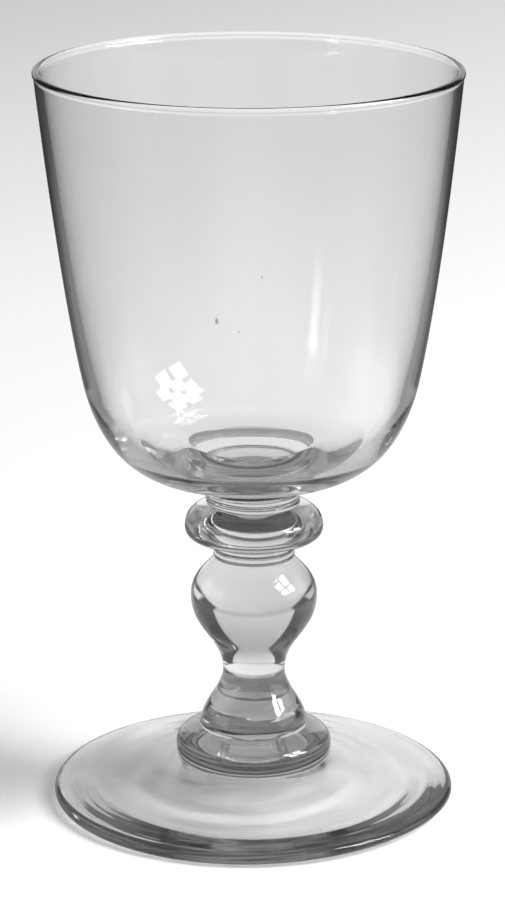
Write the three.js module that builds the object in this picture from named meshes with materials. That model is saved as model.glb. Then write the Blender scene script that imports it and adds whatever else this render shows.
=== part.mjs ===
// Water goblet of blown and tooled clear glass, in millimetres, +Z up.
// The origin is on the axis, in the plane that the foot stands on.
// Each piece is a turned solid: a separately worked gather of glass, fused to the next at a flat joint.
import * as THREE from 'three';

// Foot: a low cone with a rounded edge, hollow underneath, standing on a flat worn ring.
const footRadius = 42;
const footHeight = 8.75;
const footEdgeHeight = 3;
const footEdgeRounding = 1.1;
const restInset = 1.75;
const restWidth = 7.5;
const hollowHeight = 4.5;

// Rough ring of glass that the pontil rod left under the middle of the foot.
const scarRadius = 5.6;
const scarWidth = 1.6;
const scarHeight = 0.9;
const scarMargin = 1.4;

// Thick disc between the foot and the stem.
const discHeight = 6.75;
const discFootRadius = 15.5;
const discRadius = 16.3;
const discSideHeight = 2.75;

// Spreading lower end of the stem.
const stemBaseHeight = 12;
const stemBaseRadius = 11.25;
const waistRadius = 6.5;

// Inverted baluster, thickest above its middle.
const balusterHeight = 25;
const balusterRadius = 13.2;
const balusterBellyHeight = 16.5;

// Low collar between the baluster and the ring knop, with beads round it.
const collarHeight = 3.75;
const collarRadius = 8.25;
const collarBulge = 0.25;
const collarBeads = 3;

// Ring knop, drawn out to a rounded edge.
const ringHeight = 7.75;
const ringRadius = 14.4;
const ringBellyHeight = 2.9;

// Merese: the short disc that carries the bowl, with beads round it.
const mereseHeight = 2.5;
const mereseRadius = 9.5;
const mereseBulge = 0.25;
const mereseBeads = 2;

// Depth of the grooves between the beads, in from the joints' radius.
const grooveDepth = 0.35;

// Bowl: a bucket with a rim rounded in the fire, and a floor that is sunk in its middle over the merese.
const bowlHeight = 88.5;
const rimRadius = 43.1;
const rimBead = 0.3;
const rimBeadHeight = 1.8;
const rimThickness = 1.6;
const shoulderRadius = 34.4;
const shoulderHeight = 23.5;
const shoulderThickness = 2.5;
const heelRadius = 24.6;
const heelHeight = 10.6;
const ledgeRadius = 13.3;
const ledgeThickness = 9.8;
const sunkRadius = 12.1;
const floorThickness = 6.8;
const flareRadius = 14.6;
const flareHeight = 2.9;

// How finely the shapes are cut: steps round the axis, and along each curve of an outline.
const stepsRound = 48;
const largeCurveSteps = 7;
const curveSteps = 6;
const smallCurveSteps = 3;

// Clear glass, near neutral grey.
const glassColour = '#e3e6e6';
const glassOpacityShare = 0.35;
const polishedRoughness = 0.04;
const wornRoughness = 0.18;
const brokenRoughness = 0.6;

// Handles of the outlines' curves, as shares of the way from a curve's start to its end:
// the first handle's radius and height, then the second handle's.
const turnOutShares = [0.55, 0, 1, 0.45];
const turnInShares = [0, 0.55, 0.45, 1];
const hollowShares = [0.2, 0.02, 0.82, 0.93];
const footSlopeShares = [0.35, 0.28, 0.75, 0.63];
const discShoulderShares = [0, 0.54, 0.34, 0.76];
const stemBaseShares = [0, 0.36, 1, 0.68];
const balusterTaperShares = [0, 0.44, 1, 0.56];
const balusterTopShares = [0, 0.52, 0.67, 0.75];
const ringUndersideShares = [0.64, 0, 1, 0.21];
const ringTopShares = [0, 0.47, 0.29, 0.87];
const flareShares = [0.04, 0.52, 0.51, 0.75];
const cornerShares = [0.22, 0.065, 0.77, 0.08];
const wallShares = [0.34, 0.22, 0.67, 0.56];
const beadShares = [0, 0.4, 1, 0.6];
const innerWallShares = [0.33, 0.44, 0.64, 0.78];
const heelShares = [0.17, 0.4, 0.6, 0.79];
const ledgeShares = [0.1, 0.8, 0.5, 1];
const sunkShares = [0.5, 0.05, 0.5, 0.95];

// An outline in the plane of radius and height, drawn anticlockwise, so that the faces point out.
class Outline {
  constructor(radius, height) {
    this.points = [new THREE.Vector2(radius, height)];
  }

  last() {
    return this.points[this.points.length - 1];
  }

  // Draws a straight edge to the given radius and height.
  line(radius, height) {
    this.points.push(new THREE.Vector2(radius, height));
    return this;
  }

  // Draws a cubic curve to the given radius and height, with its handles at the given shares.
  curve(radius, height, shares, steps) {
    const start = this.last();
    const end = new THREE.Vector2(radius, height);
    const way = end.clone().sub(start);
    const leave = new THREE.Vector2(shares[0], shares[1]).multiply(way).add(start);
    const arrive = new THREE.Vector2(shares[2], shares[3]).multiply(way).add(start);
    const cubic = new THREE.CubicBezierCurve(start, leave, arrive, end);
    this.points.push(...cubic.getPoints(steps).slice(1));
    return this;
  }

  // Turns the outline round the Z axis.
  turn() {
    const geometry = new THREE.LatheGeometry(this.points, stepsRound);
    return geometry.rotateX(Math.PI / 2);
  }
}

function footOutline() {
  const restOuter = footRadius - restInset;
  const edgeMiddle = footEdgeHeight / 2;
  return new Outline(0, hollowHeight)
    .line(scarRadius + scarMargin, hollowHeight)
    .curve(restOuter - restWidth, 0, hollowShares, curveSteps)
    .line(restOuter, 0)
    .curve(footRadius, edgeMiddle, turnOutShares, smallCurveSteps)
    .curve(footRadius - footEdgeRounding, footEdgeHeight, turnInShares, smallCurveSteps)
    .curve(discFootRadius, footHeight, footSlopeShares, curveSteps)
    .line(0, footHeight);
}

// The scar hangs from the hollow's flat middle, so its seat is at height 0 and the rest is below.
function scarOutline() {
  const inner = scarRadius - scarWidth;
  const middle = scarRadius - scarWidth / 2;
  return new Outline(inner, 0)
    .curve(middle, -scarHeight, turnInShares, smallCurveSteps)
    .curve(scarRadius, 0, turnOutShares, smallCurveSteps)
    .line(inner, 0);
}

function discOutline() {
  return new Outline(0, 0)
    .line(discFootRadius, 0)
    .curve(discRadius, discSideHeight, turnOutShares, smallCurveSteps)
    .curve(stemBaseRadius, discHeight, discShoulderShares, curveSteps)
    .line(0, discHeight);
}

function stemBaseOutline() {
  return new Outline(0, 0)
    .line(stemBaseRadius, 0)
    .curve(waistRadius, stemBaseHeight, stemBaseShares, curveSteps)
    .line(0, stemBaseHeight);
}

function balusterOutline() {
  return new Outline(0, 0)
    .line(waistRadius, 0)
    .curve(balusterRadius, balusterBellyHeight, balusterTaperShares, largeCurveSteps)
    .curve(collarRadius, balusterHeight, balusterTopShares, curveSteps)
    .line(0, balusterHeight);
}

// A short disc with rounded beads round its side, as the collar and the merese are.
function beadedOutline(radius, bulge, height, beads) {
  const outline = new Outline(0, 0).line(radius, 0);
  const beadHeight = height / beads;
  for (let bead = 1; bead <= beads; bead += 1) {
    const top = bead * beadHeight;
    const groove = bead === beads ? 0 : grooveDepth;
    outline.curve(radius + bulge, top - beadHeight / 2, turnOutShares, smallCurveSteps);
    outline.curve(radius - groove, top, turnInShares, smallCurveSteps);
  }
  return outline.line(0, height);
}

function ringOutline() {
  return new Outline(0, 0)
    .line(collarRadius, 0)
    .curve(ringRadius, ringBellyHeight, ringUndersideShares, curveSteps)
    .curve(mereseRadius, ringHeight, ringTopShares, curveSteps)
    .line(0, ringHeight);
}

function bowlOutline() {
  const lipOuter = rimRadius + rimBead;
  const lipRadius = rimThickness / 2;
  const lipHeight = bowlHeight - lipRadius;
  const shoulderInner = shoulderRadius - shoulderThickness;
  return new Outline(0, 0)
    .line(mereseRadius, 0)
    .curve(flareRadius, flareHeight, flareShares, smallCurveSteps)
    .curve(shoulderRadius, shoulderHeight, cornerShares, largeCurveSteps)
    .curve(rimRadius, bowlHeight - rimBeadHeight, wallShares, curveSteps)
    .curve(lipOuter, lipHeight, beadShares, smallCurveSteps)
    .curve(lipOuter - lipRadius, bowlHeight, turnInShares, smallCurveSteps)
    .curve(lipOuter - rimThickness, lipHeight, turnOutShares, smallCurveSteps)
    .curve(shoulderInner, shoulderHeight, innerWallShares, curveSteps)
    .curve(heelRadius, heelHeight, heelShares, smallCurveSteps)
    .curve(ledgeRadius, ledgeThickness, ledgeShares, smallCurveSteps)
    .curve(sunkRadius, floorThickness, sunkShares, curveSteps)
    .line(0, floorThickness);
}

// Names a piece, gives it its glass and stands it at its height on the axis.
function piece(name, outline, height, roughness) {
  const material = new THREE.MeshStandardMaterial({ color: glassColour, roughness, metalness: 0 });
  material.transparent = true;
  material.opacity = glassOpacityShare;
  const mesh = new THREE.Mesh(outline.turn(), material);
  mesh.name = name;
  mesh.position.z = height;
  return mesh;
}

const goblet = new THREE.Group();
goblet.add(piece('foot', footOutline(), 0, wornRoughness));
goblet.add(piece('pontil_scar', scarOutline(), hollowHeight, brokenRoughness));

// The pieces of the stem and the bowl stand one on another.
const stack = [
  ['basal_disc', discOutline(), discHeight],
  ['stem_base', stemBaseOutline(), stemBaseHeight],
  ['baluster', balusterOutline(), balusterHeight],
  ['lower_collar', beadedOutline(collarRadius, collarBulge, collarHeight, collarBeads), collarHeight],
  ['ring_knop', ringOutline(), ringHeight],
  ['upper_merese', beadedOutline(mereseRadius, mereseBulge, mereseHeight, mereseBeads), mereseHeight],
  ['bowl', bowlOutline(), bowlHeight],
];
let seatHeight = footHeight;
for (const [name, outline, height] of stack) {
  goblet.add(piece(name, outline, seatHeight, polishedRoughness));
  seatHeight += height;
}

export default goblet;
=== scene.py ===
"""Water goblet of blown and tooled clear glass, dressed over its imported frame."""
import math

import bpy
import numpy as np
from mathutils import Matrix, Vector


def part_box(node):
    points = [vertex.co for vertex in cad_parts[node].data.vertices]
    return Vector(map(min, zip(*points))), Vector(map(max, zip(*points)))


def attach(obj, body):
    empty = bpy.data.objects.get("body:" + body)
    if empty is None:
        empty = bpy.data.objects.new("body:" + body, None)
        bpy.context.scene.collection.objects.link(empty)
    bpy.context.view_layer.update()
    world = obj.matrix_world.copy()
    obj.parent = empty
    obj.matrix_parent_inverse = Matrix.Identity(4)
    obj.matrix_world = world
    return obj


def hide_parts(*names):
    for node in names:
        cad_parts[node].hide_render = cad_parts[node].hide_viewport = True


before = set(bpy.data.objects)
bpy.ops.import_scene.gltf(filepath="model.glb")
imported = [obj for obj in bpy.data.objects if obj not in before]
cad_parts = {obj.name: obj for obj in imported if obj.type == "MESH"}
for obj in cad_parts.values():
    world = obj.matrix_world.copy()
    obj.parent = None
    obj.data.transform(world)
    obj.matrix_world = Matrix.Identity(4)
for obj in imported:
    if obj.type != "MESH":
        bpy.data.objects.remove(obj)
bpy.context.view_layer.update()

MM = 0.001

# Steps of the turned surfaces: round the axis, along a long curve of an outline, along a short one.
STEPS_ROUND = 240
LONG_CURVE_STEPS = 44
CURVE_STEPS = 26
SHORT_CURVE_STEPS = 12

# Edges that turn by more degrees than this stay sharp.
SHARP_TURN = 40

# The frame's own sizes. Each piece ends this little under the next, so that a joint has both its faces.
JOINT_GAP = 0.002 * MM


def span(node):
    """Lowest height, highest height less the joint's gap, and largest radius of a CAD node."""
    low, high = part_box(node)
    return low[2], high[2] - JOINT_GAP, (high[0] - low[0]) / 2


_, FOOT_HIGH, FOOT_RADIUS = span("foot")
SCAR_LOW, SCAR_HIGH, SCAR_RADIUS = span("pontil_scar")
DISC_LOW, DISC_HIGH, DISC_RADIUS = span("basal_disc")
BASE_LOW, BASE_HIGH, BASE_RADIUS = span("stem_base")
BALUSTER_LOW, BALUSTER_HIGH, BALUSTER_RADIUS = span("baluster")
COLLAR_LOW, COLLAR_HIGH, COLLAR_OUTER = span("lower_collar")
RING_LOW, RING_HIGH, RING_RADIUS = span("ring_knop")
MERESE_LOW, MERESE_HIGH, MERESE_OUTER = span("upper_merese")
BOWL_LOW, BOWL_HIGH, LIP_RADIUS = span("bowl")

# Radii of the fused joints, from the widest radius beside them.
DISC_JOINT_SHARE = 0.951
WAIST_JOINT_SHARE = 0.492
BEAD_BULGE = 0.25 * MM
DISC_JOINT = DISC_JOINT_SHARE * DISC_RADIUS
WAIST_JOINT = WAIST_JOINT_SHARE * BALUSTER_RADIUS
COLLAR_JOINT = COLLAR_OUTER - BEAD_BULGE
MERESE_JOINT = MERESE_OUTER - BEAD_BULGE

# Foot: it stands on a worn ring, which rises a little towards its inner edge.
FOOT_EDGE_HEIGHT = 3.0 * MM
FOOT_EDGE_ROUNDING = 1.1 * MM
REST_INSET = 1.6 * MM
REST_INNER = 32.5 * MM
REST_RISE = 0.12 * MM
SCAR_WIDTH = 1.6 * MM
SCAR_MARGIN = 1.4 * MM

# Stem: its collar and merese have beads, with grooves between them.
DISC_SIDE_HEIGHT = 2.75 * MM
BALUSTER_BELLY_HEIGHT = 16.5 * MM
RING_BELLY_HEIGHT = 2.9 * MM
COLLAR_BEADS = 3
MERESE_BEADS = 2
GROOVE = 0.35 * MM

# Bowl: the middle of its floor is sunk over the merese.
RIM_BEAD = 0.3 * MM
RIM_BEAD_HEIGHT = 1.8 * MM
RIM_THICKNESS = 1.6 * MM
SHOULDER_RADIUS = 34.4 * MM
SHOULDER_HEIGHT = 23.5 * MM
SHOULDER_THICKNESS = 2.5 * MM
HEEL_RADIUS = 24.6 * MM
HEEL_HEIGHT = 10.6 * MM
LEDGE_RADIUS = 13.3 * MM
LEDGE_THICKNESS = 9.8 * MM
SUNK_RADIUS = 12.1 * MM
FLOOR_THICKNESS = 6.8 * MM
FLARE_RADIUS = 14.6 * MM
FLARE_HEIGHT = 2.9 * MM

# Handles of the outlines' curves, as shares of the way from a curve's start to its end:
# the first handle's radius and height, then the second handle's.
TURN_OUT_SHARES = (0.55, 0, 1, 0.45)
TURN_IN_SHARES = (0, 0.55, 0.45, 1)
HOLLOW_SHARES = (0.2, 0.02, 0.82, 0.93)
REST_SHARES = (0.3, 0.5, 0.7, 1)
FOOT_SLOPE_SHARES = (0.35, 0.28, 0.75, 0.63)
DISC_SHOULDER_SHARES = (0, 0.54, 0.34, 0.76)
STEM_BASE_SHARES = (0, 0.36, 1, 0.68)
BALUSTER_TAPER_SHARES = (0, 0.44, 1, 0.56)
BALUSTER_TOP_SHARES = (0, 0.52, 0.67, 0.75)
RING_UNDERSIDE_SHARES = (0.64, 0, 1, 0.21)
RING_TOP_SHARES = (0, 0.47, 0.29, 0.87)
FLARE_SHARES = (0.04, 0.52, 0.51, 0.75)
CORNER_SHARES = (0.22, 0.065, 0.77, 0.08)
WALL_SHARES = (0.34, 0.22, 0.67, 0.56)
BEAD_SHARES = (0, 0.4, 1, 0.6)
INNER_WALL_SHARES = (0.33, 0.44, 0.64, 0.78)
HEEL_SHARES = (0.17, 0.4, 0.6, 0.79)
LEDGE_SHARES = (0.1, 0.8, 0.5, 1)
SUNK_SHARES = (0.5, 0.05, 0.5, 0.95)

# Bowl and stem as they were made: how far sideways they sit, at heights on the axis.
LEAN_HEIGHTS = (0, 30 * MM, 60 * MM, 64 * MM, 67 * MM, 90 * MM, 120 * MM, 155 * MM)
LEAN_OFFSETS = (0.15 * MM, 0.3 * MM, 0.31 * MM, 0.2 * MM, -0.3 * MM, -0.3 * MM, -0.46 * MM, -0.76 * MM)

# The foot's underside rises towards its edge on one side: how far, from which radius, its turn in
# degrees, and the power of the cosine that narrows it.
LIFT = 1.1 * MM
LIFT_START = 36 * MM
LIFT_TURN = -38
LIFT_POWER = 3

# Glass. It is a little grey inside, and its surface lets through the share named clearness: on the stem,
# on the wall from WALL_START up, and on the foot from FOOT_MIDDLE out, below FOOT_TOP.
GLASS_IOR = 1.5
BLACK = (0, 0, 0, 1)
DARKENING_PER_METRE = 18
STEM_CLEARNESS = 0.99
WALL_CLEARNESS = 0.988
FOOT_CLEARNESS = 1.0
WALL_START = 72 * MM
WALL_DEPTH = 18 * MM
FOOT_MIDDLE = 12 * MM
FOOT_CLEARING = 14 * MM
FOOT_TOP = 9 * MM
FOOT_TOP_FADE = 4 * MM

# Unevenness of the surfaces: features per metre along x, y and z, how far they stand out, and how much
# they shade the glass.
STRIAE_PER_METRE = (110, 110, 7)
STRIAE_RELIEF = 0.012 * MM
STRIAE_SHADE = 0.015
WAVES_PER_METRE = (28, 28, 14)
WAVES_RELIEF = 0.05 * MM
TOOLING_PER_METRE = (18, 18, 620)
TOOLING_RELIEF = 0.011 * MM
TOOLING_SHADE = 0.04
CORDS_PER_METRE = (60, 60, 420)
CORDS_RELIEF = 0.09 * MM
CORDS_SHADE = 0.12
WORKED_HEIGHT = 19.5 * MM
WORKED_REACH = 4 * MM
SPIRAL_PITCH = 6.5 * MM
SPIRAL_RELIEF = 0.012 * MM
SPIRAL_WANDER = 2
SCRATCHES_PER_METRE = (1400, 1400, 200)
SCRATCHES_CONTRAST = 2
SCRATCHED_HEIGHT = 0.4 * MM
SCRATCHED_ROUGHNESS = 0.1
BROKEN_PER_METRE = (420, 420, 420)
BROKEN_RELIEF = 0.35 * MM
BROKEN_SHADE = 0.1
BROKEN_ROUGHNESS = 0.3

# Spin marks near the foot's edge: features per metre out, per radian round and per metre up, the radius
# that they start from and how fast they begin, and how far they stand out.
EDGE_RINGS_SCALE = (600, 1.1, 300)
EDGE_RINGS_START = 28 * MM
EDGE_RINGS_FADE = 4 * MM
EDGE_RINGS_RELIEF = 0.03 * MM

# Stones and seeds in the bowl's wall: x, y, z and half height, in millimetres.
STONES = (
    (-6.9, -37.6, 112.3, 0.8),
    (1.8, -39.4, 121.5, 0.3),
    (-2.6, -37.8, 110.2, 0.3),
    (-24.7, -29.2, 112.8, 0.35),
    (22.3, -29.3, 103.3, 0.3),
)
STONE_WIDTH_SHARE = 0.45
STONE_SHADE = 0.8

# Floor as it is seen through the glass, with painted light and shade: a bright sheet painted under the
# goblet that widens away behind it, and bright strips that run out to the other sides, at these turns in
# degrees from straight behind, to the right. Between them it is painted dark.
SHEET_HALF_WIDTH = 0.085
SHEET_SPREAD_SHARE = 0.3
SHEET_FAR_HALF_WIDTH = -0.06
SHEET_FAR_SPREAD_SHARE = 0.6
SHEET_NEAR_RADIUS = 0.15
STRIP_TURNS = (62, 102, 145, -145, -102, -62)
STRIP_HALF_WIDTH = 0.065
STRIP_START = 0.22
STRIP_END = 0.75
STRIP_SPREAD_SHARE = 0.1
STRIP_SOFTNESS = 0.03
STRIP_SPREAD_SOFTNESS_SHARE = 0.06
DARK_ROOM = 0.1

# Floor as the glass mirrors it inside itself, with painted light and shade: far behind, behind, near
# behind, right under the goblet, and beside it.
MIRRORED_FAR = 0.1
MIRRORED_MIDDLE = 0.28
MIRRORED_NEAR = 0.6
MIRRORED_CENTRE = 0.4
MIRRORED_CENTRE_REACH = 0.04
MIRRORED_SIDES = 1.0
MIRRORED_MIDDLE_REACH = 0.22
MIRRORED_MIDDLE_FADE = 0.3
MIRRORED_NEAR_REACH = 0.18
MIRRORED_NEAR_FADE = 0.14
MIRRORED_NEAR_WIDTH = 0.06
MIRRORED_NEAR_SOFTNESS = 0.08
MIRRORED_SIDE_START = 0.06
MIRRORED_SIDE_SOFTNESS = 0.06
MIRRORED_SIDE_END = 0.18
MIRRORED_SIDE_REACH = 0.04
MIRRORED_SIDE_FADE = 0.07

# Sheet where it goes up behind the goblet, by the height of the direction, from 0 to 1: its half width
# and taper, its light from low to high, and its end. Some light is in front of the goblet, low down.
SKY_SPREAD_SHARE = 0.565
SKY_TAPER_SHARE = 0.38
SKY_SOFTNESS = 0.07
SKY_LEAST_AHEAD = 0.01
SKY_BEGIN = 0.1
SKY_LOW = 0.84
SKY_FALL = 0.55
SKY_HIGH = 0.62
SKY_TOP = 0.57
SKY_TOP_SOFTNESS = 0.1
FRONT_SPREAD_SHARE = 0.3
FRONT_LIGHT = 0.4
FRONT_TOP = 0.3

# Room as the glass mirrors it inside itself: a patchy pale sky, light round about, and a tall narrow
# light at the left in front, with its turn and half width in degrees.
MIRRORED_SKY = 0.36
MIRRORED_TOP = 0.18
MIRRORED_SKY_TOP = 0.8
MIRRORED_SKY_FADE = 0.18
MIRRORED_ROUND = 0.4
MIRRORED_ROUND_TURN = 0.5
MIRRORED_ROUND_SOFTNESS = 0.35
MIRRORED_ROUND_LOW = 0.08
MIRRORED_ROUND_LOW_FADE = 0.08
MIRRORED_ROUND_TOP = 0.5
ROOM_PATCHES = 1.3
ROOM_PATCHES_PER_UNIT = (2.5, 2.5, 6)
TALL_LIGHT = 6.5
TALL_LIGHT_TURN = -132
TALL_LIGHT_HALF_WIDTH = 5
TALL_LIGHT_SOFTNESS = 0.006
TALL_LIGHT_LOW = 0.03
TALL_LIGHT_LOW_FADE = 0.07
TALL_LIGHT_HIGH = 0.2
TALL_LIGHT_HIGH_FADE = 0.1

# Windows at both sides, as the glass mirrors them on its outside.
SIDE_WINDOWS = 1.4
SIDE_WINDOWS_ASIDE = 0.8
SIDE_WINDOWS_ASIDE_FADE = 0.15
SIDE_WINDOWS_LOW = 0.08
SIDE_WINDOWS_LOW_FADE = 0.1
SIDE_WINDOWS_HIGH = 0.45
SIDE_WINDOWS_HIGH_FADE = 0.15

# Floor itself: its grey, its painted shade far away, which a wedge that opens behind the goblet moves to
# the left, and the soft painted shadow at the left of the goblet.
FLOOR_REACH = 6
FLOOR_DROP = -0.1 * MM
FLOOR_GREY = 0.96
FLOOR_PAINTED_SHADE = 0.1
FADE_FROM = 0.4
FADE_REACH = 1.0
WEDGE_TIP = -0.75
WEDGE_SPREAD_SHARE = 0.08
WEDGE_LEAST_HALF_WIDTH = 0.05
WEDGE_START = -0.2
WEDGE_REACH = 0.4
# Painted shadow at the left of the goblet: its middle, half sizes and depth.
CAST_X = -64 * MM
CAST_Y = 2 * MM
CAST_HALF_WIDTH = 26 * MM
CAST_HALF_LENGTH = 24 * MM
PAINTED_SHADOW_SHADE = 0.24

# Light that the floor gives of itself: far away as the glass shows it, near the goblet through the glass,
# and to the camera. Then the light of the backdrop to the camera, and of the room on all things.
FAR_FROM = 0.35
FAR_REACH = 0.7
FAR_LIGHT = 0.76
HORIZON_FROM = 1.4
HORIZON_REACH = 1.0
HORIZON_LIGHT = 0.1
THROUGH_GLOW = 0.02
CAMERA_GLOW = 0.045
BACKDROP = 0.75
ROOM_LIGHT = 0.47

# Painted light on the floor under the foot, for the light that the foot gathers there, as it is seen
# through
# the foot: arcs, as radius and softness in millimetres and strength, streaks, a lighter right side, a
# short bar at the left behind, and a patch of painted shade at the left, for light that the foot bends
# away.
GATHERED_REACH = 43 * MM
GATHERED_FADE = 2 * MM
GATHERED_LIGHT = 0.1
ARCS_OF_LIGHT = ((22, 2.2, 0.22), (12, 3, 0.12))
ARC_OFFSET = 2 * MM
ARC_FRONT_SHARE = 0.4
STREAKS_SCALE = (240, 1.3, 1)
STREAKS_SLANT = 0.15
STREAK_LIGHT = 0.22
SIDE_START = -10 * MM
SIDE_REACH = 30 * MM
SIDE_LIGHT = 0.18
LOST_X = -20 * MM
LOST_Y = 0
LOST_HALF_WIDTH = 12 * MM
LOST_HALF_LENGTH = 14 * MM
LOST_LIGHT = 0.32
BAR_X = -20 * MM
BAR_Y = 30 * MM
BAR_TURN = 35
BAR_HALF_WIDTH = 2.5 * MM
BAR_HALF_LENGTH = 11 * MM
BAR_LIGHT = 0.35

# Window of four panes, up at the right: its turn and rise in degrees, distance and sizes in metres, and
# each pane's power in watts.
LAMP_TURN = -14
LAMP_RISE = 38
LAMP_DISTANCE = 1.2
LAMP_PANE = 0.25
LAMP_BAR = 0.08
LAMP_POWER = 4.3
LAMP_TARGET = Vector((0, 0, 60 * MM))

# Camera: its place, its tilt down in degrees, and the focal length in pixels of the 900 pixel high frame.
CAMERA_PLACE = (0, -0.705, 0.283)
CAMERA_TILT = 16.42
CAMERA_FOCUS = 3562
FRAME_HEIGHT = 900
SENSOR_WIDTH = 36


class Outline:
    """Points of radius and height, drawn from the bottom outwards and up, with the joint faces marked."""

    def __init__(self, radius, height):
        self.points = [np.array([[radius, height]])]
        self.joint_rows = []

    def rows(self):
        return sum(len(points) for points in self.points)

    def line(self, radius, height, joint=False):
        """A straight edge to a point, which may be the face of a fused joint."""
        if joint:
            self.joint_rows.append(self.rows() - 1)
        self.points.append(np.array([[radius, height]]))
        return self

    def curve(self, radius, height, shares, steps):
        """A cubic Bezier curve to a point: (1-t)^3 A + 3t(1-t)^2 B + 3t^2(1-t) C + t^3 D."""
        start = self.points[-1][-1]
        end = np.array([radius, height])
        leave = start + (end - start) * np.array(shares[:2])
        arrive = start + (end - start) * np.array(shares[2:])
        t = np.linspace(0, 1, steps + 1)[1:, None]
        self.points.append(
            (1 - t) ** 3 * start + 3 * t * (1 - t) ** 2 * leave + 3 * t**2 * (1 - t) * arrive + t**3 * end
        )
        return self


def hand_made(points):
    """Leans, x + offset(z), and lifts the foot's edge at one side, z + lift out(r) low(z) cos(turn)^p."""
    moved = points.copy()
    moved[..., 0] += np.interp(points[..., 2], LEAN_HEIGHTS, LEAN_OFFSETS)
    radius = np.hypot(points[..., 0], points[..., 1])
    out = np.clip((radius - LIFT_START) / (FOOT_RADIUS - LIFT_START), 0, 1)
    low = np.clip(1 - points[..., 2] / FOOT_EDGE_HEIGHT, 0, 1)
    turn = np.arctan2(points[..., 1], points[..., 0]) - math.radians(LIFT_TURN)
    moved[..., 2] += LIFT * out * low * np.clip(np.cos(turn), 0, 1) ** LIFT_POWER
    return moved


def turned_points(rows):
    """Points of a turned surface, row by row: (r cos a, r sin a, z), with the angle a once round."""
    angles = np.linspace(0, 2 * math.pi, STEPS_ROUND, endpoint=False)
    grid = np.empty((len(rows), STEPS_ROUND, 3))
    grid[..., 0] = rows[:, :1] * np.cos(angles)
    grid[..., 1] = rows[:, :1] * np.sin(angles)
    grid[..., 2] = rows[:, 1:]
    return hand_made(grid)


def merged_poles(grid, radii):
    """The points with each row on the axis merged into one, and the number of each row's first point."""
    vertices = []
    first = []
    count = 0
    for row, radius in zip(grid, radii):
        if radius == 0:
            row = row.mean(axis=0, keepdims=True)
        vertices.append(row)
        first.append(count)
        count += len(row)
    return np.concatenate(vertices), first


def band_of_faces(low, high, low_radius, high_radius):
    """Faces between two rows, from their first points' numbers: triangles at a pole, else squares."""
    around = np.arange(STEPS_ROUND)
    after = (around + 1) % STEPS_ROUND
    if low_radius == 0:
        return np.stack([np.full(STEPS_ROUND, low), high + after, high + around], axis=1)
    if high_radius == 0:
        return np.stack([low + around, low + after, np.full(STEPS_ROUND, high)], axis=1)
    return np.stack([low + around, low + after, high + after, high + around], axis=1)


def turned(name, outline, material):
    """A surface of revolution, (r(s) cos a, r(s) sin a, z(s)), closed at its poles or on itself."""
    rows = np.concatenate(outline.points)
    radii = rows[:, 0]
    vertices, first = merged_poles(turned_points(rows), radii)
    faces = []
    fused = []
    bands = len(rows) if radii[0] else len(rows) - 1
    for low in range(bands):
        high = (low + 1) % len(rows)
        band = band_of_faces(first[low], first[high], radii[low], radii[high])
        faces += band.tolist()
        fused += [float(low in outline.joint_rows)] * STEPS_ROUND
    mesh = bpy.data.meshes.new(name)
    mesh.from_pydata(vertices.tolist(), [], faces)
    mesh.polygons.foreach_set("use_smooth", np.ones(len(faces), dtype=bool))
    mesh.attributes.new("fused", "FLOAT", "FACE").data.foreach_set("value", fused)
    mesh.materials.append(material)
    mesh.set_sharp_from_angle(angle=math.radians(SHARP_TURN))
    mesh.validate()
    piece = bpy.data.objects.new(name, mesh)
    bpy.context.scene.collection.objects.link(piece)
    return piece


def foot_outline():
    """From the hollow's middle out over the worn ring, round the edge, and up the cone to the disc."""
    rest_outer = FOOT_RADIUS - REST_INSET
    scar_inner = SCAR_RADIUS - SCAR_WIDTH
    return (
        Outline(0, SCAR_HIGH)
        .line(scar_inner, SCAR_HIGH)
        .line(SCAR_RADIUS, SCAR_HIGH, joint=True)
        .line(SCAR_RADIUS + SCAR_MARGIN, SCAR_HIGH)
        .curve(REST_INNER, REST_RISE, HOLLOW_SHARES, LONG_CURVE_STEPS)
        .curve(rest_outer, 0, REST_SHARES, CURVE_STEPS)
        .curve(FOOT_RADIUS, FOOT_EDGE_HEIGHT / 2, TURN_OUT_SHARES, SHORT_CURVE_STEPS)
        .curve(FOOT_RADIUS - FOOT_EDGE_ROUNDING, FOOT_EDGE_HEIGHT, TURN_IN_SHARES, SHORT_CURVE_STEPS)
        .curve(DISC_JOINT, FOOT_HIGH, FOOT_SLOPE_SHARES, LONG_CURVE_STEPS)
        .line(0, FOOT_HIGH, joint=True)
    )


def scar_outline():
    """A rounded ring that hangs from the hollow's middle."""
    inner = SCAR_RADIUS - SCAR_WIDTH
    middle = SCAR_RADIUS - SCAR_WIDTH / 2
    top = SCAR_HIGH - JOINT_GAP
    outline = (
        Outline(inner, top)
        .curve(middle, SCAR_LOW, TURN_IN_SHARES, SHORT_CURVE_STEPS)
        .curve(SCAR_RADIUS, top, TURN_OUT_SHARES, SHORT_CURVE_STEPS)
    )
    outline.joint_rows.append(outline.rows() - 1)
    return outline


def disc_outline():
    """A thick disc with a round side and shoulder."""
    return (
        Outline(0, DISC_LOW)
        .line(DISC_JOINT, DISC_LOW, joint=True)
        .curve(DISC_RADIUS, DISC_LOW + DISC_SIDE_HEIGHT, TURN_OUT_SHARES, SHORT_CURVE_STEPS)
        .curve(BASE_RADIUS, DISC_HIGH, DISC_SHOULDER_SHARES, CURVE_STEPS)
        .line(0, DISC_HIGH, joint=True)
    )


def stem_base_outline():
    """From its spread on the disc up to the waist."""
    return (
        Outline(0, BASE_LOW)
        .line(BASE_RADIUS, BASE_LOW, joint=True)
        .curve(WAIST_JOINT, BASE_HIGH, STEM_BASE_SHARES, LONG_CURVE_STEPS)
        .line(0, BASE_HIGH, joint=True)
    )


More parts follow.
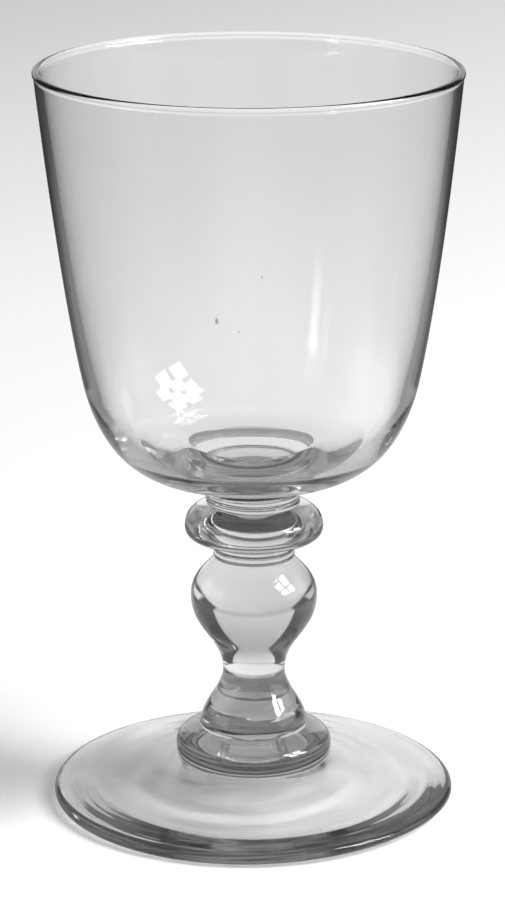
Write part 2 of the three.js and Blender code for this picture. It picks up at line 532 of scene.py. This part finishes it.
def baluster_outline():
    """From the waist out to the belly and in again to the collar."""
    belly = BALUSTER_LOW + BALUSTER_BELLY_HEIGHT
    return (
        Outline(0, BALUSTER_LOW)
        .line(WAIST_JOINT, BALUSTER_LOW, joint=True)
        .curve(BALUSTER_RADIUS, belly, BALUSTER_TAPER_SHARES, LONG_CURVE_STEPS)
        .curve(COLLAR_JOINT, BALUSTER_HIGH, BALUSTER_TOP_SHARES, CURVE_STEPS)
        .line(0, BALUSTER_HIGH, joint=True)
    )


def beaded_outline(low, high, joint_radius, outer_radius, beads):
    """A short disc with rounded beads round its side."""
    outline = Outline(0, low).line(joint_radius, low, joint=True)
    height = (high - low) / beads
    for bead in range(beads):
        top = low + (bead + 1) * height
        groove = 0 if bead == beads - 1 else GROOVE
        outline.curve(outer_radius, top - height / 2, TURN_OUT_SHARES, SHORT_CURVE_STEPS)
        outline.curve(joint_radius - groove, top, TURN_IN_SHARES, SHORT_CURVE_STEPS)
    return outline.line(0, high, joint=True)


def collar_outline():
    return beaded_outline(COLLAR_LOW, COLLAR_HIGH, COLLAR_JOINT, COLLAR_OUTER, COLLAR_BEADS)


def merese_outline():
    return beaded_outline(MERESE_LOW, MERESE_HIGH, MERESE_JOINT, MERESE_OUTER, MERESE_BEADS)


def ring_outline():
    """A ring drawn out to a round edge, widest low down."""
    return (
        Outline(0, RING_LOW)
        .line(COLLAR_JOINT, RING_LOW, joint=True)
        .curve(RING_RADIUS, RING_LOW + RING_BELLY_HEIGHT, RING_UNDERSIDE_SHARES, CURVE_STEPS)
        .curve(MERESE_JOINT, RING_HIGH, RING_TOP_SHARES, CURVE_STEPS)
        .line(0, RING_HIGH, joint=True)
    )


def bowl_outline():
    """Up the outer side to the rim, and down the inner side to the ledge and the sunk floor."""
    lip_round = RIM_THICKNESS / 2
    lip_height = BOWL_HIGH - lip_round
    shoulder = BOWL_LOW + SHOULDER_HEIGHT
    return (
        Outline(0, BOWL_LOW)
        .line(MERESE_JOINT, BOWL_LOW, joint=True)
        .curve(FLARE_RADIUS, BOWL_LOW + FLARE_HEIGHT, FLARE_SHARES, SHORT_CURVE_STEPS)
        .curve(SHOULDER_RADIUS, shoulder, CORNER_SHARES, LONG_CURVE_STEPS)
        .curve(LIP_RADIUS - RIM_BEAD, BOWL_HIGH - RIM_BEAD_HEIGHT, WALL_SHARES, LONG_CURVE_STEPS)
        .curve(LIP_RADIUS, lip_height, BEAD_SHARES, SHORT_CURVE_STEPS)
        .curve(LIP_RADIUS - lip_round, BOWL_HIGH, TURN_IN_SHARES, SHORT_CURVE_STEPS)
        .curve(LIP_RADIUS - RIM_THICKNESS, lip_height, TURN_OUT_SHARES, SHORT_CURVE_STEPS)
        .curve(SHOULDER_RADIUS - SHOULDER_THICKNESS, shoulder, INNER_WALL_SHARES, LONG_CURVE_STEPS)
        .curve(HEEL_RADIUS, BOWL_LOW + HEEL_HEIGHT, HEEL_SHARES, CURVE_STEPS)
        .curve(LEDGE_RADIUS, BOWL_LOW + LEDGE_THICKNESS, LEDGE_SHARES, CURVE_STEPS)
        .curve(SUNK_RADIUS, BOWL_LOW + FLOOR_THICKNESS, SUNK_SHARES, CURVE_STEPS)
        .line(0, BOWL_LOW + FLOOR_THICKNESS)
    )


class Value:
    """A shader socket with arithmetic: an expression on values adds its Math nodes."""

    def __init__(self, tree, socket):
        self.tree = tree
        self.socket = socket

    def math(self, operation, *others):
        node = self.tree.nodes.new("ShaderNodeMath")
        node.operation = operation
        for socket, value in zip(node.inputs, (self, *others)):
            feed(self.tree, socket, value)
        return Value(self.tree, node.outputs[0])

    def __add__(self, other):
        return self.math("ADD", other)

    def __sub__(self, other):
        return self.math("SUBTRACT", other)

    def __mul__(self, other):
        return self.math("MULTIPLY", other)

    def __truediv__(self, other):
        return self.math("DIVIDE", other)

    def __pow__(self, other):
        return self.math("POWER", other)

    def __radd__(self, other):
        return self.math("ADD", other)

    def __rmul__(self, other):
        return self.math("MULTIPLY", other)

    def __rsub__(self, other):
        return (self * -1).math("ADD", other)

    def __abs__(self):
        return self.math("ABSOLUTE")

    def sine(self):
        return self.math("SINE")

    def at_least(self, other):
        return self.math("MAXIMUM", other)

    def at_most(self, other):
        return self.math("MINIMUM", other)

    def clamped(self):
        return self.at_least(0).at_most(1)

    def eased(self):
        """Clamps to 0..1 and eases both ends: 3t^2 - 2t^3."""
        t = self.clamped()
        return t * t * (3 - 2 * t)

    def rising(self, start, reach):
        """0 up to the start, and over the reach beyond it eased up to 1."""
        return ((self - start) / reach).eased()

    def falling(self, start, reach):
        """1 up to the start, and over the reach beyond it eased down to 0."""
        return 1 - self.rising(start, reach)

    def bell(self):
        """A soft hump, 1 at 0: e^(-v^2)."""
        return (self * self * -1).math("EXPONENT")


def feed(tree, socket, value):
    """Links a value to a socket, or sets a plain number or vector on it."""
    if isinstance(value, Value):
        tree.links.new(value.socket, socket)
    else:
        socket.default_value = value


def add_node(tree, kind, settings=None, **sockets):
    """Adds a node of any kind: its settings are set first, then the values or links of its sockets."""
    node = tree.nodes.new(kind)
    for name, value in (settings or {}).items():
        setattr(node, name, value)
    for name, value in sockets.items():
        feed(tree, node.inputs[name.replace("_", " ")], value)
    return node


def outputs(tree, node, *names):
    return [Value(tree, node.outputs[name]) for name in names]


def grey(tree, value):
    """The colour with the same value in red, green and blue."""
    node = add_node(tree, "ShaderNodeCombineColor", None, Red=value, Green=value, Blue=value)
    return Value(tree, node.outputs[0])


def new_material(name):
    """A material with its node tree and its Principled shader."""
    material = bpy.data.materials.new(name)
    material.use_nodes = True
    return material, material.node_tree, material.node_tree.nodes["Principled BSDF"]


def object_place(tree):
    """The place on the object, and its x, y and z."""
    place, = outputs(tree, add_node(tree, "ShaderNodeTexCoord"), "Object")
    parts = add_node(tree, "ShaderNodeSeparateXYZ", None, Vector=place)
    return place, *outputs(tree, parts, "X", "Y", "Z")


def uneven(tree, place, per_unit, detail=0):
    """Smooth noise from -1 to 1, with this many features per unit of length along x, y and z."""
    mapping = add_node(tree, "ShaderNodeMapping", None, Vector=place, Scale=per_unit)
    stretched = Value(tree, mapping.outputs[0])
    noise = add_node(tree, "ShaderNodeTexNoise", None, Vector=stretched, Scale=1, Detail=detail)
    return Value(tree, noise.outputs[0]) * 2 - 1


def unrolled(tree, out, turn, z=0):
    """A place as its distance from the axis, its turn in radians and its height."""
    node = add_node(tree, "ShaderNodeCombineXYZ", None, X=out, Y=turn, Z=z)
    return Value(tree, node.outputs[0])


def raise_surface(tree, shader, height):
    """Bends the light as a surface would that stands out by this height."""
    bump = add_node(tree, "ShaderNodeBump", None, Height=height, Distance=1, Strength=1)
    tree.links.new(bump.outputs[0], shader.inputs["Normal"])


def clear_glass(name):
    """Smooth clear glass, for the other glasses to vary. Its fused faces are see-through."""
    material, tree, shader = new_material(name)
    shader.inputs["Roughness"].default_value = 0
    shader.inputs["IOR"].default_value = GLASS_IOR
    shader.inputs["Transmission Weight"].default_value = 1
    fused, = outputs(tree, add_node(tree, "ShaderNodeAttribute", {"attribute_name": "fused"}), "Fac")
    feed(tree, shader.inputs["Alpha"], 1 - fused)
    inside = add_node(tree, "ShaderNodeVolumeAbsorption", None, Color=BLACK, Density=DARKENING_PER_METRE)
    tree.links.new(inside.outputs[0], tree.nodes["Material Output"].inputs["Volume"])
    return material, tree, shader


def patch(across, along):
    """A soft round patch, 1 in its middle: e^-((u^2 + v^2)^2)."""
    return (across * across + along * along).bell()


def stones(x, y, z):
    """1 in the stones and seeds of the wall, 0 round them."""
    marks = 0
    for stone_x, stone_y, stone_z, size in STONES:
        sideways = ((x - stone_x * MM) ** 2 + (y - stone_y * MM) ** 2) ** 0.5
        across = sideways / (size * STONE_WIDTH_SHARE * MM)
        along = (z - stone_z * MM) / (size * MM)
        marks = patch(across, along) + marks
    return marks.clamped()


def bowl_glass():
    """Thin glass, drawn out upwards: faint upright striae, slow waves and a few stones and seeds."""
    material, tree, shader = clear_glass("bowl_glass")
    place, x, y, z = object_place(tree)
    streaks = uneven(tree, place, STRIAE_PER_METRE)
    clear = STEM_CLEARNESS + (WALL_CLEARNESS - STEM_CLEARNESS) * z.rising(WALL_START, WALL_DEPTH)
    clear = clear - (streaks + 1) * STRIAE_SHADE
    clear = clear * (1 - STONE_SHADE * stones(x, y, z))
    feed(tree, shader.inputs["Base Color"], grey(tree, clear))
    relief = streaks * STRIAE_RELIEF + uneven(tree, place, WAVES_PER_METRE) * WAVES_RELIEF
    raise_surface(tree, shader, relief)
    return material


def stem_glass():
    """Thick glass, turned against a tool while it was hot: fine rings all over, and cords low down."""
    material, tree, shader = clear_glass("stem_glass")
    place, _, _, z = object_place(tree)
    rings = uneven(tree, place, TOOLING_PER_METRE)
    low_down = ((z - WORKED_HEIGHT) / WORKED_REACH).bell()
    cords = uneven(tree, place, CORDS_PER_METRE, detail=2) * low_down
    clear = STEM_CLEARNESS + rings * TOOLING_SHADE + cords * CORDS_SHADE
    feed(tree, shader.inputs["Base Color"], grey(tree, clear))
    relief = rings * TOOLING_RELIEF + uneven(tree, place, WAVES_PER_METRE) * WAVES_RELIEF
    raise_surface(tree, shader, relief + cords * CORDS_RELIEF)
    return material


def foot_glass():
    """A spun foot: spiral ripples, spin marks near the edge, and fine scratches where it stands."""
    material, tree, shader = clear_glass("foot_glass")
    place, x, y, z = object_place(tree)
    radius = (x * x + y * y) ** 0.5
    turn = y.math("ARCTAN2", x)
    outwards = radius.rising(FOOT_MIDDLE, FOOT_CLEARING) * z.falling(FOOT_TOP, FOOT_TOP_FADE)
    clear = STEM_CLEARNESS + (FOOT_CLEARNESS - STEM_CLEARNESS) * outwards
    feed(tree, shader.inputs["Base Color"], grey(tree, clear))
    slow = uneven(tree, place, WAVES_PER_METRE)
    spiral = (radius / SPIRAL_PITCH * math.tau + turn + slow * SPIRAL_WANDER).sine()
    rings = uneven(tree, unrolled(tree, radius, turn, z), EDGE_RINGS_SCALE, detail=1)
    rings = rings * ((radius - EDGE_RINGS_START) / EDGE_RINGS_FADE).clamped()
    raise_surface(tree, shader, spiral * SPIRAL_RELIEF + slow * WAVES_RELIEF + rings * EDGE_RINGS_RELIEF)
    worn = z.falling(0, SCRATCHED_HEIGHT)
    scratches = (uneven(tree, place, SCRATCHES_PER_METRE) * SCRATCHES_CONTRAST).clamped()
    feed(tree, shader.inputs["Roughness"], worn * scratches * SCRATCHED_ROUGHNESS)
    return material


def broken_glass():
    """The torn ring of the pontil scar: sharp chips, dull between them."""
    material, tree, shader = clear_glass("broken_glass")
    place, *_ = object_place(tree)
    chips = uneven(tree, place, BROKEN_PER_METRE, detail=5)
    feed(tree, shader.inputs["Base Color"], grey(tree, STEM_CLEARNESS + chips * BROKEN_SHADE))
    feed(tree, shader.inputs["Roughness"], (chips * 0.5 + 0.5) * BROKEN_ROUGHNESS)
    raise_surface(tree, shader, chips * BROKEN_RELIEF)
    return material


def along_and_aside(x, y, turn, both_ways=False):
    """Distance along a strip that runs out at this turn, and distance from its middle line."""
    sine, cosine = math.sin(math.radians(turn)), math.cos(math.radians(turn))
    along = x * sine + y * cosine
    return along if both_ways else along.at_least(0), abs(x * cosine - y * sine)


def strip_edge(inside, along):
    """1 inside a strip and 0 outside, softer further out."""
    return (inside / (along * STRIP_SPREAD_SOFTNESS_SHARE + STRIP_SOFTNESS) + 0.5).eased()


def bright_floor(x, y, distance):
    """1 on the painted sheet and strips, 0 between them."""
    along = abs(y)
    near = along * SHEET_SPREAD_SHARE + SHEET_HALF_WIDTH
    far = along * SHEET_FAR_SPREAD_SHARE + SHEET_FAR_HALF_WIDTH
    bright = strip_edge(near.at_least(far) - abs(x), along)
    bright = bright.at_least(strip_edge(SHEET_NEAR_RADIUS - distance, along))
    for turn in STRIP_TURNS:
        along, aside = along_and_aside(x, y, turn)
        strip = strip_edge(along * STRIP_SPREAD_SHARE + STRIP_HALF_WIDTH - aside, along)
        strip = strip * strip_edge(STRIP_END - along, along) * strip_edge(along - STRIP_START, along)
        bright = bright.at_least(strip)
    return bright


def seen_by_camera(tree):
    """1 for what is seen directly, 0 for what glass shows and for the light that falls on things."""
    return outputs(tree, add_node(tree, "ShaderNodeLightPath"), "Is Camera Ray")[0]


def seen_in_glass(tree):
    """1 for what glass shows; 1 where a surface mirrors it; 1 where one mirrors it inside the glass."""
    path = add_node(tree, "ShaderNodeLightPath")
    glossy, through = outputs(tree, path, "Is Glossy Ray", "Is Transmission Ray")
    scattered, = outputs(tree, path, "Diffuse Depth")
    mirrors, entries = outputs(tree, path, "Glossy Depth", "Transmission Depth")
    in_glass = glossy.at_least(through) * (1 - scattered.at_most(1))
    mirrored = mirrors.at_most(1)
    return in_glass, mirrored, mirrored * entries.at_most(1)


def arc_of_light(x, y, reach, softness, light):
    """A soft arc of painted light under the front of the foot."""
    from_arc = ((x + ARC_OFFSET) ** 2 + y * y) ** 0.5 - reach
    to_front = (ARC_FRONT_SHARE - y / reach).clamped()
    return (from_arc / softness).bell() * light * to_front


def painted_gathered_light(tree, x, y, distance):
    """Painted light under the foot, for the light it gathers: streaks, arcs, a bar and a lighter right
    side.
    """
    around = unrolled(tree, distance + STREAKS_SLANT * x, y.math("ARCTAN2", x))
    streaks = uneven(tree, around, STREAKS_SCALE, detail=2)
    light = GATHERED_LIGHT + streaks * STREAK_LIGHT
    for reach, softness, amount in ARCS_OF_LIGHT:
        light = light + arc_of_light(x, y, reach * MM, softness * MM, amount)
    along, aside = along_and_aside(x - BAR_X, y - BAR_Y, BAR_TURN, both_ways=True)
    bar = (aside / BAR_HALF_WIDTH).bell() * (along / BAR_HALF_LENGTH).bell() * BAR_LIGHT
    side = x.rising(SIDE_START, SIDE_REACH) * SIDE_LIGHT
    return (light + bar + side) * ((GATHERED_REACH - distance) / GATHERED_FADE).clamped()


def painted_lost_light(x, y):
    """A painted shade patch under the left of the foot, standing in for light that its glass bends away.
    """
    return LOST_LIGHT * patch((x - LOST_X) / LOST_HALF_WIDTH, (y - LOST_Y) / LOST_HALF_LENGTH)


def mirrored_floor(x, y, distance):
    """Painted brightness of the floor where glass mirrors it inside: light near the goblet, dark far
    behind.
    """
    aside = abs(x)
    middle = y.falling(MIRRORED_MIDDLE_REACH, MIRRORED_MIDDLE_FADE)
    near = y.falling(MIRRORED_NEAR_REACH, MIRRORED_NEAR_FADE)
    near = near * aside.falling(MIRRORED_NEAR_WIDTH, MIRRORED_NEAR_SOFTNESS)
    beside = aside.rising(MIRRORED_SIDE_START, MIRRORED_SIDE_SOFTNESS)
    beside = beside * aside.falling(MIRRORED_SIDE_END, MIRRORED_SIDE_FADE)
    beside = beside * abs(y).falling(MIRRORED_SIDE_REACH, MIRRORED_SIDE_FADE)
    # Painted light and shade of the floor as the glass mirrors it.
    light = MIRRORED_FAR + (MIRRORED_MIDDLE - MIRRORED_FAR) * middle
    light = light + (MIRRORED_NEAR - MIRRORED_MIDDLE) * near
    light = light + MIRRORED_CENTRE * distance.falling(0, MIRRORED_CENTRE_REACH)
    return light + (MIRRORED_SIDES - light) * beside


def shown_floor(x, y, distance, mirrored):
    """Painted brightness of the floor where glass shows it, straight through or mirrored inside."""
    through = DARK_ROOM + (1 - DARK_ROOM) * bright_floor(x, y, distance)
    shown = through + (mirrored_floor(x, y, distance) - through) * mirrored
    # Painted shade under the left of the foot, shown only straight through the glass.
    return shown * (1 - painted_lost_light(x, y) * (1 - mirrored))


def to_the_right(x, y):
    """From 1 at the right to -1 at the left of a wedge that opens behind the goblet."""
    half_width = (WEDGE_SPREAD_SHARE * (y - WEDGE_TIP)).at_least(WEDGE_LEAST_HALF_WIDTH)
    across = (x / half_width).at_least(-1).at_most(1)
    return across * ((y - WEDGE_START) / WEDGE_REACH).clamped()


def painted_shadow(x, y):
    """Painted shadow: soft shade at the left of the goblet, away from the window."""
    return PAINTED_SHADOW_SHADE * patch((x - CAST_X) / CAST_HALF_WIDTH, (y - CAST_Y) / CAST_HALF_LENGTH)


def floor_tone(x, y, distance, camera_ray):
    """The floor's grey, with painted shade far off at the left and a painted shadow beside the goblet."""
    # Painted shade: the floor is darker far away, most of all at the left.
    fade = ((distance - FADE_FROM) / FADE_REACH).clamped()
    tone = FLOOR_GREY * (1 - FLOOR_PAINTED_SHADE * fade * (1 - to_the_right(x, y)))
    # Painted shadow at the left of the goblet, for the camera only.
    return tone * (1 - painted_shadow(x, y) * camera_ray)


def floor_material():
    """A pale floor, with painted light and shade that only glass shows: the sheet and strips in the dark
    room.
    """
    material, tree, shader = new_material("pale_floor")
    _, x, y, _ = object_place(tree)
    distance = (x * x + y * y) ** 0.5
    camera_ray = seen_by_camera(tree)
    in_glass, mirrored, _ = seen_in_glass(tree)
    shown = shown_floor(x, y, distance, mirrored)
    far = distance.rising(FAR_FROM, FAR_REACH) * in_glass
    # Painted shade: seen in the glass, the floor is darkened between the sheet and the strips.
    tone = floor_tone(x, y, distance, camera_ray) * (1 - (1 - shown) * in_glass)
    feed(tree, shader.inputs["Base Color"], grey(tree, tone * (1 - far)))
    # Painted glow of the far floor, shown only in the glass.
    far_light = FAR_LIGHT + HORIZON_LIGHT * distance.rising(HORIZON_FROM, HORIZON_REACH)
    # Painted glow near the goblet and painted light under the foot, shown only in the glass.
    near_light = (THROUGH_GLOW + painted_gathered_light(tree, x, y, distance)) * (1 - mirrored)
    glow = in_glass * (far * shown * far_light + near_light)
    feed(tree, shader.inputs["Emission Color"], grey(tree, glow + CAMERA_GLOW * camera_ray))
    shader.inputs["Emission Strength"].default_value = 1
    shader.inputs["Roughness"].default_value = 1
    shader.inputs["Specular IOR Level"].default_value = 0
    return material


def add_floor():
    """A square floor, just under the foot."""
    square = [(-1, -1), (1, -1), (1, 1), (-1, 1)]
    corners = [(x * FLOOR_REACH, y * FLOOR_REACH, FLOOR_DROP) for x, y in square]
    mesh = bpy.data.meshes.new("floor")
    mesh.from_pydata(corners, [], [(0, 1, 2, 3)])
    mesh.materials.append(floor_material())
    floor = bpy.data.objects.new("floor", mesh)
    bpy.context.scene.collection.objects.link(floor)


def upright_strip(ahead, aside, half_width):
    """1 in an upright strip straight ahead, 0 beside it and at the back."""
    inside = half_width - aside / ahead.at_least(SKY_LEAST_AHEAD)
    return (inside / SKY_SOFTNESS + 0.5).eased() * (ahead / SKY_BEGIN).clamped()


def room_through_glass(ahead, aside, z):
    """The dark room as it is seen through the glass, with the sheet going up behind the goblet."""
    sheet = upright_strip(ahead, aside, SKY_SPREAD_SHARE - SKY_TAPER_SHARE * z)
    sheet_light = (SKY_LOW - SKY_FALL * z).at_least(SKY_HIGH) * z.falling(SKY_TOP, SKY_TOP_SOFTNESS)
    front = upright_strip(ahead * -1, aside, FRONT_SPREAD_SHARE)
    return DARK_ROOM + sheet * sheet_light + front * FRONT_LIGHT * (1 - (z / FRONT_TOP).clamped())


def tall_light(right, ahead, z):
    """A tall narrow light at the left in front, as the glass mirrors it."""
    turn = math.radians(TALL_LIGHT_TURN)
    towards = right * math.sin(turn) + ahead * math.cos(turn)
    narrow = towards.rising(math.cos(math.radians(TALL_LIGHT_HALF_WIDTH)), TALL_LIGHT_SOFTNESS)
    upwards = z.rising(TALL_LIGHT_LOW, TALL_LIGHT_LOW_FADE)
    return TALL_LIGHT * narrow * upwards * z.falling(TALL_LIGHT_HIGH, TALL_LIGHT_HIGH_FADE)


def room_mirrored_inside(tree, direction, right, ahead, z):
    """The room as the glass mirrors it inside: a patchy sky, light round about and the tall light."""
    patches = 1 + ROOM_PATCHES * uneven(tree, direction, ROOM_PATCHES_PER_UNIT, detail=1)
    sky = MIRRORED_TOP + MIRRORED_SKY * patches * z.falling(MIRRORED_SKY_TOP, MIRRORED_SKY_FADE)
    round_about = ((MIRRORED_ROUND_TURN - ahead) / MIRRORED_ROUND_SOFTNESS).eased()
    round_about = round_about * z.rising(MIRRORED_ROUND_LOW, MIRRORED_ROUND_LOW_FADE)
    round_about = round_about * (1 - z / MIRRORED_ROUND_TOP).clamped()
    return sky + MIRRORED_ROUND * round_about + tall_light(right, ahead, z)


def side_windows(aside, z):
    """Windows at both sides, as the glass mirrors them on its outside."""
    windows = aside.rising(SIDE_WINDOWS_ASIDE, SIDE_WINDOWS_ASIDE_FADE)
    windows = windows * z.rising(SIDE_WINDOWS_LOW, SIDE_WINDOWS_LOW_FADE)
    return SIDE_WINDOWS * (windows * z.falling(SIDE_WINDOWS_HIGH, SIDE_WINDOWS_HIGH_FADE))


def add_room():
    """Plain pale light, but glass shows a dark room with the sheet going up behind the goblet."""
    world = bpy.data.worlds.new("room")
    world.use_nodes = True
    bpy.context.scene.world = world
    tree = world.node_tree
    direction, = outputs(tree, add_node(tree, "ShaderNodeTexCoord"), "Generated")
    parts = add_node(tree, "ShaderNodeSeparateXYZ", None, Vector=direction)
    x, y, z = outputs(tree, parts, "X", "Y", "Z")
    level = (x * x + y * y) ** 0.5
    right = x / level
    ahead = y / level
    aside = abs(x) / level
    through = room_through_glass(ahead, aside, z)
    inside = room_mirrored_inside(tree, direction, right, ahead, z)
    outside = through + side_windows(aside, z)
    in_glass, mirrored, mirrored_inside = seen_in_glass(tree)
    shown = through + (inside - through) * mirrored_inside
    shown = shown + (outside - through) * (mirrored - mirrored_inside)
    camera_ray = seen_by_camera(tree)
    light = BACKDROP * camera_ray + shown * in_glass + ROOM_LIGHT * (1 - camera_ray - in_glass)
    background = tree.nodes["Background"]
    feed(tree, background.inputs["Color"], grey(tree, light))
    background.inputs["Strength"].default_value = 1


def add_window():
    """A soft window of four panes, up at the right."""
    turn, rise = math.radians(LAMP_TURN), math.radians(LAMP_RISE)
    out = Vector((math.cos(turn) * math.cos(rise), math.sin(turn) * math.cos(rise), math.sin(rise)))
    across = Vector((-math.sin(turn), math.cos(turn), 0))
    up = out.cross(across)
    step = (LAMP_PANE + LAMP_BAR) / 2
    for side in (-1, 1):
        for level in (-1, 1):
            data = bpy.data.lights.new("window_pane", "AREA")
            data.shape = "SQUARE"
            data.size = LAMP_PANE
            data.energy = LAMP_POWER
            pane = bpy.data.objects.new("window_pane", data)
            pane.location = LAMP_TARGET + out * LAMP_DISTANCE + across * side * step + up * level * step
            pane.rotation_euler = out.to_track_quat("Z", "Y").to_euler()
            bpy.context.scene.collection.objects.link(pane)


def add_camera():
    """Stands where the photo was taken from."""
    data = bpy.data.cameras.new("camera")
    data.sensor_width = SENSOR_WIDTH
    data.lens = SENSOR_WIDTH * CAMERA_FOCUS / FRAME_HEIGHT
    camera = bpy.data.objects.new("camera", data)
    camera.location = CAMERA_PLACE
    camera.rotation_euler = (math.radians(90 - CAMERA_TILT), 0, 0)
    bpy.context.scene.collection.objects.link(camera)
    bpy.context.scene.camera = camera


def allow_deep_glass():
    """Lets light pass through all the walls of the glass."""
    cycles = bpy.context.scene.cycles
    cycles.max_bounces = 32
    cycles.transmission_bounces = 32
    cycles.transparent_max_bounces = 24
    cycles.glossy_bounces = 24
    cycles.diffuse_bounces = 3


glasses = {
    "bowl_glass": bowl_glass(),
    "stem_glass": stem_glass(),
    "foot_glass": foot_glass(),
    "broken_glass": broken_glass(),
}
pieces = {
    "foot": (foot_outline(), "foot_glass"),
    "pontil_scar": (scar_outline(), "broken_glass"),
    "basal_disc": (disc_outline(), "stem_glass"),
    "stem_base": (stem_base_outline(), "stem_glass"),
    "baluster": (baluster_outline(), "stem_glass"),
    "lower_collar": (collar_outline(), "stem_glass"),
    "ring_knop": (ring_outline(), "stem_glass"),
    "upper_merese": (merese_outline(), "stem_glass"),
    "bowl": (bowl_outline(), "bowl_glass"),
}
for node, (outline, slot) in pieces.items():
    piece = turned("blown_" + node, outline, glasses[slot])
    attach(piece, "root")
    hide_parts(node)

add_floor()
add_room()
add_window()
add_camera()
allow_deep_glass()
bpy.context.scene.view_settings.view_transform = "Standard"
